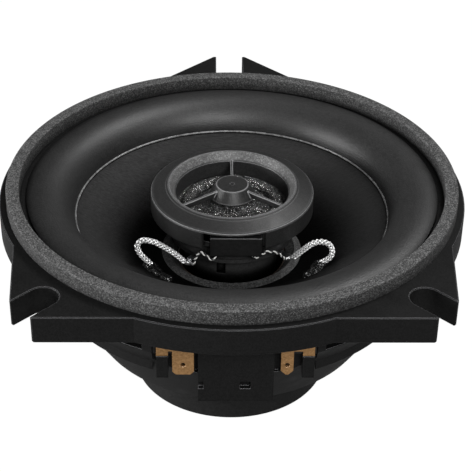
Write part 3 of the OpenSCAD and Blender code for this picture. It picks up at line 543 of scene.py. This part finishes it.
def add_lathe(shape, profile, shares=None, turns=ring_steps):
    """A closed profile of (radius, height) turned round the axis."""
    profile = np.array(profile, float)
    shares = np.zeros(len(profile)) if shares is None else np.asarray(shares, float)
    angle = np.arange(turns) * 2 * math.pi / turns
    points = np.stack([profile[None, :, 0] * np.cos(angle)[:, None],
                       profile[None, :, 0] * np.sin(angle)[:, None],
                       np.broadcast_to(profile[None, :, 1], (turns, len(profile)))], -1)
    n = len(profile)
    area = sum(a[0] * b[1] - b[0] * a[1] for a, b in zip(profile, np.roll(profile, -1, 0)))
    faces = []
    for i in range(turns):
        for k in range(n):
            a, b = i * n + k, i * n + (k + 1) % n
            c, d = ((i + 1) % turns) * n + (k + 1) % n, ((i + 1) % turns) * n + k
            faces.append([a, d, c, b] if area > 0 else [a, b, c, d])
    shape.add(points, faces, np.tile(shares, turns))


def round_corners(corners, radius, steps=5):
    """A profile with each of its corners rounded; a corner may carry its own radius."""
    out = []
    n = len(corners)
    for i in range(n):
        before, here, after = (Vector(corners[j % n][:2]) for j in (i - 1, i, i + 1))
        r = corners[i][2] if len(corners[i]) > 2 else radius
        a, b = (before - here), (after - here)
        cut = min(r, 0.45 * a.length, 0.45 * b.length)
        start, end = here + a.normalized() * cut, here + b.normalized() * cut
        for k in range(steps + 1):
            t = k / steps
            out.append(tuple(start * (1 - t) ** 2 + here * 2 * t * (1 - t) + end * t * t))
    return out


def foam():
    material, tree, shader = start_material("closed_cell_foam")
    cells = grains(tree, 0.2)
    tone = ramp(tree, cells["Mask"], (0.0, 0.02), (0.6, 0.055), (1.0, 0.15))
    # Painted shade: the side walls are darker than the top face, and creases darker still.
    normal = add(tree, "ShaderNodeNewGeometry").outputs["Normal"]
    facing = add(tree, "ShaderNodeSeparateXYZ", {"Vector": normal})
    painted_wall_shade = ramp(tree, facing.outputs["Z"], (0.2, 0.62), (0.85, 1.0))
    shade = in_creases(tree, 4, (0.35, 0.25), (0.75, 1.0))
    coat(tree, shader, darkened(tree, darkened(tree, tone, painted_wall_shade), shade),
         ramp(tree, cells["Mask"], (0.0, 0.95), (1.0, 0.75)),
         cells["Height"], strength=0.7, depth=0.08)
    shader.inputs["Specular IOR Level"].default_value = 0.2
    return material


shape = Shape()
add_lathe(shape, round_corners([
    (gasket_inner, gasket_foot), (gasket_outer, gasket_foot),
    (gasket_outer, gasket_top, gasket_outer_round), (gasket_inner, gasket_top, gasket_inner_round),
], gasket_foot_round))
piece = shape.build("gasket_ring", sharp=60)
piece.data.materials.append(foam())
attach(piece, "frame")
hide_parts("front_gasket")

# ---- Rubber surround -------------------------------------------------------------------
# A half roll of moulded rubber joins the cone to the frame and lets it travel. Its lip lies
# glued under the gasket's inner edge and its foot is glued on the cone's rim.

cone_neck, cone_neck_z, cone_rim_z = 17.1, -10.55, 0.95
cone_edge, cone_edge_z = 37.65, 1.0
cone_slope = (cone_rim_z - cone_neck_z) / (cone_edge - cone_neck)
roll_edge, roll_edge_z = 48.8, 7.3
roll_drop, roll_skin, roll_lean = 4.0, 0.6, 0.1
lip_edge, lip_top, lip_foot = 52.9, 6.7, 6.1
flap_edge, flap_skin = 39.15, 0.4
upper_steps, lower_steps = 56, 40


def arc(centre, radius, first, last, steps):
    angles = [first + (last - first) * i / steps for i in range(steps + 1)]
    return [(centre[0] + radius * math.cos(a), centre[1] + radius * math.sin(a)) for a in angles]


def surround_profile():
    """The closed profile and each point's share of the cone, from the foot over to the lip."""
    start, end = Vector((cone_edge, cone_edge_z)), Vector((roll_edge, roll_edge_z))
    chord = end - start
    along = chord.normalized()
    centre = (start + end) / 2 + roll_drop * Vector((along.y, -along.x))
    radius = math.hypot(chord.length / 2, roll_drop)
    first = math.atan2(start.y - centre.y, start.x - centre.x)
    last = math.atan2(end.y - centre.y, end.x - centre.x)
    flap_top = cone_edge_z + flap_skin + cone_slope * roll_skin
    inner_last = math.pi - math.asin((flap_top - centre.y) / (radius - roll_skin))
    upper = arc(centre, radius, first, last, upper_steps)
    lower = arc(centre, radius - roll_skin, last, inner_last, lower_steps)
    lip = [(roll_edge + roll_lean, lip_top), (lip_edge, lip_top), (lip_edge, lip_foot),
           (roll_edge - roll_skin, lip_foot)]
    foot_z = cone_edge_z + cone_slope * (flap_edge - cone_edge)
    flap = [(flap_edge, foot_z + flap_skin), (flap_edge, foot_z)]
    shares = [1 - eased(i / upper_steps) for i in range(upper_steps + 1)] + [0] * len(lip)
    shares += [1 - eased(1 - i / lower_steps) for i in range(lower_steps + 1)] + [1] * len(flap)
    return upper + lip + lower + flap, shares


def rubber():
    material, tree, shader = start_material("surround_rubber")
    fine = grains(tree, 0.3)
    broad = grains(tree, 7.0)
    tone = ramp(tree, fine["Mask"], (0.0, 0.006), (1.0, 0.016))
    # Painted shade: in creases, such as the groove by the gasket, the rubber darkens and loses its
    # sheen.
    finish = shadowed(tree, shader, tone, 5, deep=0.3, shallow=0.8, dark=0.1, dull=0.96)
    coat(tree, shader, finish, ramp(tree, broad["Height"], (0.3, 0.4), (1.0, 0.5)),
         fine["Height"], strength=0.6, depth=0.05)
    return material


shape = Shape()
profile, shares = surround_profile()
add_lathe(shape, profile, shares)
piece = shape.build("rubber_roll", sharp=35)
piece.data.materials.append(rubber())
bend_between(piece)
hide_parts("surround")

# ---- Cone ------------------------------------------------------------------------------
# The cone is pressed from black paper pulp. Fibres show faintly in its matt face, and a thin
# bead of clear glue squeezed out round its rim, where the surround stands on it.

fibre_turns, fibre_scale = (0.2, 1.3, 2.4), (500, 3600, 1500)
bead_r, bead_inset, bead_lift, bead_sides = 0.24, 0.12, 0.1, 12


def paper():
    material, tree, shader = start_material("black_paper")
    place = add(tree, "ShaderNodeTexCoord").outputs["Object"]
    total = None
    for turn in fibre_turns:
        spin = add(tree, "ShaderNodeMapping",
                   {"Vector": place, "Rotation": (0, 0, turn), "Scale": fibre_scale})
        hair = add(tree, "ShaderNodeTexNoise",
                   {"Vector": spin.outputs[0], "Scale": 1.0, "Detail": 2.0}).outputs["Fac"]
        total = hair if total is None else add(
            tree, "ShaderNodeMath", {0: total, 1: hair}, operation="MAXIMUM").outputs[0]
    tone = ramp(tree, total, (0.45, 0.017), (0.65, 0.023), (0.85, 0.031))
    # Painted shade: round the neck, under the tweeter, the paper darkens and loses its sheen.
    finish = shadowed(tree, shader, tone, 30, deep=0.56, shallow=0.9, dark=0.04, dull=0.93)
    coat(tree, shader, finish, ramp(tree, total, (0.4, 0.85), (0.8, 0.6)),
         total, strength=0.3, depth=0.05)
    shader.inputs["Specular IOR Level"].default_value = 0.3
    return material


dress(paper(), "cone")
shape = Shape()
add_lathe(shape, arc((cone_edge - bead_inset, cone_edge_z + bead_lift), bead_r,
                     0, 2 * math.pi * (bead_sides - 1) / bead_sides, bead_sides - 1))
piece = shape.build("rim_glue_bead", sharp=80)
# The bead is real glue; its light grey is partly painted highlight, a thin bright line along the
# joint.
piece.data.materials.append(grained("bead_glue", grain=1.1, tones=(0.09, 0.2), gloss=(0.2, 0.35),
                                    strength=0.2, depth=0.1))
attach(piece, "cone_assembly")

# ---- Neck collar -----------------------------------------------------------------------
# A ring of impregnated cloth is glued round the cone's neck, over the end of the voice coil's
# former. Its coarse surface is speckled grey.


def collar_cloth():
    material, tree, shader = start_material("collar_cloth")
    cells = grains(tree, 0.28)
    blotch = grains(tree, 2.2)
    dots = ramp(tree, cells["Mask"], (0.0, 0.014), (0.6, 0.04), (1.0, 0.1))
    soft = ramp(tree, blotch["Height"], (0.3, 0.45), (1.2, 1.0))
    # Painted shade: the cloth darkens where the tweeter and the cone close in on it.
    shade = in_creases(tree, 20, (0.25, 0.4), (0.7, 1.0))
    coat(tree, shader, darkened(tree, darkened(tree, dots, soft), shade),
         ramp(tree, cells["Mask"], (0.0, 0.85), (1.0, 0.55)),
         cells["Height"], strength=0.8, depth=0.2)
    return material


dress(collar_cloth(), "neck_collar")

# ---- Glue over the leads' ends ---------------------------------------------------------
# Where each braid passes through the cone it is sealed with a few drops of black glue, which
# ran down the cone a little before it set and stays glossy.

left_glue = ((-0.6, -0.2, 2.5), (1.0, -2.6, 2.2), (3.3, -4.9, 1.9))
right_glue = ((0.1, -0.2, 2.5), (-1.2, -2.4, 2.0), (-2.9, -4.0, 1.6))
glue_sink, glue_spread = 0.15, (0.9, 0.8, 0.62)
glue_cell, glue_rounds = 0.22, 4
ripples = ((1.1, 0.4), (0.5, 0.15))


def cone_height(x, y):
    return cone_neck_z + cone_slope * (math.hypot(x, y) - cone_neck)


glue = grained("wet_black_glue", grain=0.8, tones=(0.004, 0.012), gloss=(0.06, 0.16),
               strength=0.8, depth=0.5)
for side_name, start, lumps in (("left", left_braid[0], left_glue),
                                ("right", right_braid[0], right_glue)):
    shape = Shape()
    places = [(start[0] + x, start[1] + y, r) for x, y, r in lumps]
    for here, after in zip(places, places[1:]):
        for t in (0, 0.33, 0.67, 1):
            x, y, r = (a + (b - a) * t for a, b in zip(here, after))
            r *= 1 - 0.5 * t * (1 - t)
            add_ball(shape, (x, y, cone_height(x, y) - glue_sink), [r * s for s in glue_spread])
    piece = fuse(shape.build("glue_" + side_name), glue_cell, glue_rounds)
    for vertex in piece.data.vertices:
        height = sum(noise.noise(vertex.co / (size * MM)) * tall for size, tall in ripples)
        vertex.co += vertex.normal * (height * MM)
    piece.data.materials.append(glue)
    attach(piece, "cone_assembly")
    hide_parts("glue_dots")

# ---- Voice coil ------------------------------------------------------------------------
# The former is a tube of dark brown film, glued in the cone's neck. Two layers of enamelled
# copper wire are wound round its lower end, which hangs in the magnet's gap.


def wound_wire(name, pitch):
    """Enamelled copper wire whose turns lie one pitch apart, in millimetres."""
    material, tree, shader = start_material(name)
    place = add(tree, "ShaderNodeTexCoord").outputs["Object"]
    height = add(tree, "ShaderNodeSeparateXYZ", {"Vector": place}).outputs["Z"]
    turn = add(tree, "ShaderNodeMath", {0: height, 1: 2 * math.pi / (pitch * MM)},
               operation="MULTIPLY").outputs[0]
    wave = add(tree, "ShaderNodeMath", {0: turn}, operation="SINE").outputs[0]
    coat(tree, shader, ramp(tree, wave, (0.0, (0.16, 0.04, 0.012)), (0.7, (0.5, 0.16, 0.05))),
         ramp(tree, wave, (0.0, 0.5), (1.0, 0.25)), wave, strength=0.8, depth=0.06)
    shader.inputs["Metallic"].default_value = 0.8
    return material


dress(grained("brown_film", grain=1.5, tones=((0.012, 0.008, 0.006), (0.02, 0.013, 0.009)),
              gloss=(0.25, 0.4), strength=0.1, depth=0.1), "voice_coil_former")
dress(wound_wire("coil_wire", 0.26), "voice_coil_winding")
dress(wound_wire("fine_coil_wire", 0.12), "tweeter_voice_coil")

# ---- Spider ----------------------------------------------------------------------------
# A disc of resin-stiffened cotton, pressed into rings of waves, centres the coil. It is glued
# to the former inside and to the frame's ledge outside.

spider_inner, spider_outer, spider_floor, spider_skin = 13.25, 32.9, -18.15, 0.45
wave_inner, wave_outer, wave_h, wave_count, wave_steps = 14.65, 28.7, 0.7, 4, 112
spider_turns = 192


def make_weave():
    """Over-and-under threads: a height and a mask, from points in metres and a thread in mm."""
    group, given, result = start_group("weave", {"Vector": "", "Thread": 0.4},
                                       {"Height": float, "Mask": float})
    place = scaled_place(group, given, math.pi / MM, "Thread")
    axes = add(group, "ShaderNodeSeparateXYZ", {"Vector": place})
    across = add(group, "ShaderNodeMath", {0: axes.outputs["X"]}, operation="SINE")
    down = add(group, "ShaderNodeMath", {0: axes.outputs["Y"]}, operation="SINE")
    cross = add(group, "ShaderNodeMath", {0: across.outputs[0], 1: down.outputs[0]},
                operation="MULTIPLY")
    lift = add(group, "ShaderNodeMath", {0: cross.outputs[0], 1: 0.5, 2: 0.5},
               operation="MULTIPLY_ADD")
    sharp = add(group, "ShaderNodeMath", {0: cross.outputs[0]}, operation="ABSOLUTE")
    group.links.new(lift.outputs[0], result["Height"])
    group.links.new(sharp.outputs[0], result["Mask"])
    return group


weave = make_weave()


def threads(tree, thread):
    return pattern(tree, weave, "Thread", thread)


def spider_cloth():
    material, tree, shader = start_material("resin_cotton")
    cloth = threads(tree, 0.45)
    blotch = grains(tree, 4.0)
    tone = ramp(tree, cloth["Mask"], (0.0, (0.2, 0.12, 0.03)), (1.0, (0.52, 0.36, 0.12)))
    stain = ramp(tree, blotch["Height"], (0.3, 0.75), (1.2, 1.0))
    coat(tree, shader, darkened(tree, tone, stain),
         ramp(tree, cloth["Mask"], (0.0, 0.9), (1.0, 0.65)),
         cloth["Height"], strength=0.7, depth=0.12)
    return material


def wave_point(i):
    along = i / wave_steps
    return (wave_inner + (wave_outer - wave_inner) * along,
            spider_floor + wave_h * math.sin(2 * math.pi * wave_count * along))


def spider_share(r):
    return 1 - eased(min(1, max(0, (r - wave_inner) / (wave_outer - wave_inner))))


waves = [wave_point(i) for i in range(wave_steps + 1)]
lower = [(spider_inner, spider_floor)] + waves + [(spider_outer, spider_floor)]
profile = [(r, z + spider_skin) for r, z in lower] + lower[::-1]
shape = Shape()
add_lathe(shape, profile, [spider_share(r) for r, _ in profile], spider_turns)
piece = shape.build("corrugated_spider", sharp=50)
piece.data.materials.append(spider_cloth())
bend_between(piece)
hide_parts("spider")

# ---- Rear tinsel leads -----------------------------------------------------------------
# Behind the cone two more braids run from the terminals' rivets to the cone's back. Each hangs
# in a slack bow, so that the cone can travel.

bow = ((0, 0), (0.13, 0.3), (0.27, 1.8), (0.41, 3.5), (0.55, 4.5), (0.7, 4.2), (0.86, 2.4), (1, 0))
rear_braid_width = 0.98


def tinsel(start, end):
    """Points from the rivet to the cone, by the bow's shares of the way and its sags."""
    return [tuple(a + t * (b - a) - (sag if k == 2 else 0)
                  for k, (a, b) in enumerate(zip(start, end))) for t, sag in bow]


left_tinsel = tinsel((-11.2, -39.2, -4.4), (-16.8, -21.6, -10.4))
right_tinsel = tinsel((11.8, -39.2, -4.4), (17.4, -21.6, -10.4))
for side_name, points in (("left", left_tinsel), ("right", right_tinsel)):
    shape = braid(points, rear_braid_width, (0, 1))
    piece = shape.build("rear_braid_" + side_name, sharp=70)
    piece.data.materials.append(braid_metal)
    bend_between(piece)
    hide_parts("rear_tinsel_leads")

# ---- Motor -----------------------------------------------------------------------------
# Under the bowl a ferrite ring sits between a zinc-plated steel front plate and a yoke with its
# pole, held by plated screws and the centre bolt. A black rubber boot is pulled over it all.

# The edge colours below are painted highlights along the parts' edges.
dress(moulded("zinc_steel", tones=((0.42, 0.43, 0.45), (0.52, 0.53, 0.55)),
              highlight_colour=(0.7, 0.7, 0.72), gloss=(0.3, 0.5), grain=0.6, depth=0.02, metal=1.0, level=0.5),
      "front_plate", "pole_yoke", "tweeter_yoke", "tweeter_top_plate")
dress(moulded("bright_screw_steel", tones=((0.5, 0.51, 0.53), (0.62, 0.63, 0.65)),
              highlight_colour=(0.8, 0.8, 0.82), gloss=(0.2, 0.35), grain=0.4, depth=0.02, metal=1.0, level=0.5),
      "motor_screws", "centre_bolt", "tweeter_magnet", "lead_tags")
dress(moulded("ferrite", tones=((0.02, 0.02, 0.022), (0.04, 0.04, 0.042)),
              highlight_colour=(0.09, 0.09, 0.09), gloss=(0.5, 0.75), grain=0.35, depth=0.08, level=0.5),
      "ring_magnet")
dress(moulded("boot_rubber", tones=(0.006, 0.011), highlight_colour=(0.035, 0.035, 0.036),
              gloss=(0.38, 0.52), grain=0.4, depth=0.04, edge=0.6, gain=3.0, level=0.22),
      "magnet_boot")

# ---- Terminals -------------------------------------------------------------------------
# A board of black pressed fibre carries a wide and a narrow blade, stamped from brass and
# riveted through board and frame. A folded tab of each rests on the guard post beside it.

# The edge colours below are painted highlights along the parts' edges.
dress(moulded("pressed_fibre", tones=(0.008, 0.02), highlight_colour=(0.05, 0.05, 0.05),
              gloss=(0.5, 0.7), grain=0.3, depth=0.05), "terminal_board")
dress(moulded("brass", tones=((0.34, 0.19, 0.08), (0.5, 0.29, 0.13)), highlight_colour=(0.8, 0.55, 0.35),
              gloss=(0.32, 0.5), grain=0.35, depth=0.02, edge=0.16, metal=0.85, level=0.5),
      "terminal_wide", "terminal_narrow", "terminal_rivets")

# ---- Tweeter's post, housing and bezel -------------------------------------------------
# The tweeter stands on a moulded plastic post over the magnet's pole. Its housing is a round
# tier on a pedestal disc, with a pocket for the capacitor in front. The bezel is its horn.

horn_span = 20.0
flare_inner, flare_outer = (13.6, 13.8), (14.9, 15.3)
pinhole_edge = (0.4, 0.7)

# On the post and the housing, places closed in within 4 mm go dark and dull as painted shade, and
# the edge colour is a painted highlight.
dress(moulded("post_plastic", tones=(0.014, 0.026), highlight_colour=(0.04, 0.04, 0.042),
              gloss=(0.3, 0.45), grain=0.3, depth=0.02, nook=4), "tweeter_post")
dress(moulded("tweeter_plastic", tones=(0.012, 0.03), highlight_colour=(0.25, 0.25, 0.255),
              gloss=(0.36, 0.5), grain=0.2, depth=0.06, gain=8.0, level=0.28, nook=4),
      "tweeter_housing")


def horn_plastic():
    """The housing's plastic, with a painted highlight on its edges, a coarser and paler grain on the
    flare and a pinhole painted dark as painted shade.
    """
    material = moulded("horn_plastic", tones=(0.008, 0.02), highlight_colour=(0.3, 0.3, 0.305),
                       gloss=(0.32, 0.45), grain=0.2, depth=0.05, edge=0.4, gain=16.0)
    tree = material.node_tree
    colour = tree.nodes["Principled BSDF"].inputs["Base Color"]
    smooth = colour.links[0].from_socket
    place = add(tree, "ShaderNodeTexCoord").outputs["Object"]
    flat = add(tree, "ShaderNodeVectorMath", {0: place, 1: (1, 1, 0)}, operation="MULTIPLY")
    reach = add(tree, "ShaderNodeVectorMath", {0: flat.outputs[0]}, operation="LENGTH")
    share = add(tree, "ShaderNodeMath", {0: reach.outputs["Value"], 1: 1 / (horn_span * MM)},
                operation="MULTIPLY").outputs[0]
    levels = (0.0, 1.0, 1.0, 0.0)
    flare = ramp(tree, share, *((r / horn_span, level)
                                for r, level in zip(flare_inner + flare_outer, levels)))
    # Painted shade: a black dot at the centre stands for the pinhole.
    pinhole_shade = ramp(tree, share, *((r / horn_span, level)
                                  for r, level in zip(pinhole_edge, levels)))
    pale = ramp(tree, grains(tree, 0.24)["Mask"], (0.0, 0.05), (0.7, 0.09), (1.0, 0.16))
    tree.links.new(darkened(tree, mixed(tree, flare, smooth, pale), pinhole_shade), colour)
    return material


dress(horn_plastic(), "tweeter_bezel")

# ---- Capacitor -------------------------------------------------------------------------
# A small moulded box in the bezel's notch, taken for the capacitor that keeps the bass from
# the tweeter. Its black case is smooth, with rounded edges that carry a painted highlight.

dress(moulded("capacitor_case", tones=(0.005, 0.009), highlight_colour=(0.05, 0.05, 0.052),
              gloss=(0.25, 0.4), grain=0.5, depth=0.02, edge=0.5, gain=5.0, level=0.5),
      "crossover_capacitor")

# ---- Tweeter's dome and its suspension -------------------------------------------------
# The dome is stamped from fine metallised cloth, whose threads sparkle. A soft half roll of
# the same cloth carries it and lets it move by a fraction of a millimetre.

dome_r, dome_h, dome_foot, dome_skin = 9.0, 2.2, 2.2, 0.25
dome_tip_angle, dome_steps, dome_turns = 0.0008, 40, 128
ball_r = (dome_r**2 + dome_h**2) / (2 * dome_h)
ball_z = dome_foot + dome_h - ball_r
roll_foot, roll_inner, roll_outer, roll_film = 2.05, 9.05, 12.5, 0.3
clamp_outer, clamp_top = 13.9, 2.45
roll_steps, roll_turns = 24, 160


def metal_cloth():
    material, tree, shader = start_material("metallised_cloth")
    cloth = threads(tree, 0.2)
    dots = grains(tree, 0.18)
    tone = ramp(tree, cloth["Mask"], (0.15, 0.03), (0.8, 0.8))
    glint = ramp(tree, dots["Mask"], (0.35, 0.02), (0.65, 0.3), (0.85, 1.0))
    coat(tree, shader, darkened(tree, tone, glint),
         ramp(tree, dots["Mask"], (0.0, 0.45), (1.0, 0.2)),
         cloth["Height"], strength=1.0, depth=0.15)
    shader.inputs["Metallic"].default_value = 0.9
    return material


def dome_arc(radius):
    """The dome's profile from its tip to its foot, on a ball of this radius."""
    angles = np.linspace(dome_tip_angle, math.asin(dome_r / ball_r), dome_steps)
    return [(radius * math.sin(a), ball_z + radius * math.cos(a)) for a in angles]


dome_finish = metal_cloth()
shape = Shape()
add_lathe(shape, dome_arc(ball_r) + dome_arc(ball_r - dome_skin)[::-1], turns=dome_turns)
piece = shape.build("sparkling_dome", sharp=50)
piece.data.materials.append(dome_finish)
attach(piece, "tweeter_diaphragm")
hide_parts("tweeter_dome")

middle, half = (roll_inner + roll_outer) / 2, (roll_outer - roll_inner) / 2
upper = arc((middle, roll_foot), half, math.pi, 0, roll_steps)
lower = arc((middle, roll_foot), half - roll_film, 0, math.pi, roll_steps)
clamp = [(roll_outer, clamp_top), (clamp_outer, clamp_top), (clamp_outer, roll_foot)]
profile = upper + clamp + lower
shares = [min(1, max(0, (roll_outer - r) / (roll_outer - roll_inner))) for r, _ in profile]
shape = Shape()
add_lathe(shape, profile, shares, roll_turns)
piece = shape.build("dome_suspension", sharp=50)
piece.data.materials.append(dome_finish)
bend_between(piece)
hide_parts("tweeter_suspension")

# ---- Studio ----------------------------------------------------------------------------
# The speaker stands on its boot on a plain white floor. The key lamp hangs at the right, above
# and behind; one lamp stands in front, and a low one at the left lights the bowl and the boot.

floor_reach, floor_steps = 4000, 64
floor_grey, floor_rough, floor_level = 0.2, 0.9, 0.1
floor_glow, floor_share, floor_in_gloss = 1.16, 0.85, 0.08
lamp_size, air_light = 0.3, 0.14


def floor_paint():
    """White paint that glows for the lens, and much less in the speaker's reflections."""
    material, tree, shader = start_material("white_floor")
    shader.inputs["Base Color"].default_value = (floor_grey, floor_grey, floor_grey, 1)
    shader.inputs["Roughness"].default_value = floor_rough
    shader.inputs["Specular IOR Level"].default_value = floor_level
    path = add(tree, "ShaderNodeLightPath").outputs
    glossy = add(tree, "ShaderNodeMath", {0: path["Is Glossy Ray"], 1: floor_in_gloss},
                 operation="MULTIPLY")
    seen = add(tree, "ShaderNodeMath", {0: path["Is Camera Ray"], 1: glossy.outputs[0]},
               operation="MAXIMUM")
    seen = add(tree, "ShaderNodeMath", {0: seen.outputs[0], 1: path["Is Transmission Ray"]},
               operation="MAXIMUM")
    amount = add(tree, "ShaderNodeMath", {0: seen.outputs[0], 1: floor_share},
                 operation="MULTIPLY")
    glow = add(tree, "ShaderNodeEmission", {"Color": (1, 1, 1, 1), "Strength": floor_glow})
    mix = add(tree, "ShaderNodeMixShader",
              {"Fac": amount.outputs[0], 1: shader.outputs[0], 2: glow.outputs[0]})
    tree.links.new(mix.outputs[0], tree.nodes["Material Output"].inputs["Surface"])
    return material


def soft_lamp(name, place, power):
    """A round lamp of some watts, turned to the speaker."""
    lamp = bpy.data.lights.new(name, "AREA")
    lamp.shape = "DISK"
    lamp.size = lamp_size
    lamp.energy = power
    holder = bpy.data.objects.new(name, lamp)
    holder.location = place
    holder.rotation_euler = (-Vector(place)).to_track_quat("-Z", "Y").to_euler()
    bpy.context.scene.collection.objects.link(holder)


shape = Shape()
shape.add([(floor_reach * math.cos(a), floor_reach * math.sin(a), cad_low.z / MM)
           for a in np.linspace(0, 2 * math.pi, floor_steps, endpoint=False)],
          [list(range(floor_steps))])
floor = shape.build("studio_floor")
floor.data.materials.append(floor_paint())

soft_lamp("key_lamp", (0.36, 0.2, 0.68), power=4.6)
soft_lamp("front_lamp", (0.15, -0.6, 0.45), power=5.5)
soft_lamp("left_lamp", (-0.7, -0.15, 0.1), power=8)

world = bpy.data.worlds.new("studio_air")
world.use_nodes = True
background = world.node_tree.nodes["Background"]
background.inputs["Color"].default_value = (1, 1, 1, 1)
background.inputs["Strength"].default_value = air_light
bpy.context.scene.world = world
bpy.context.scene.view_settings.view_transform = "Standard"
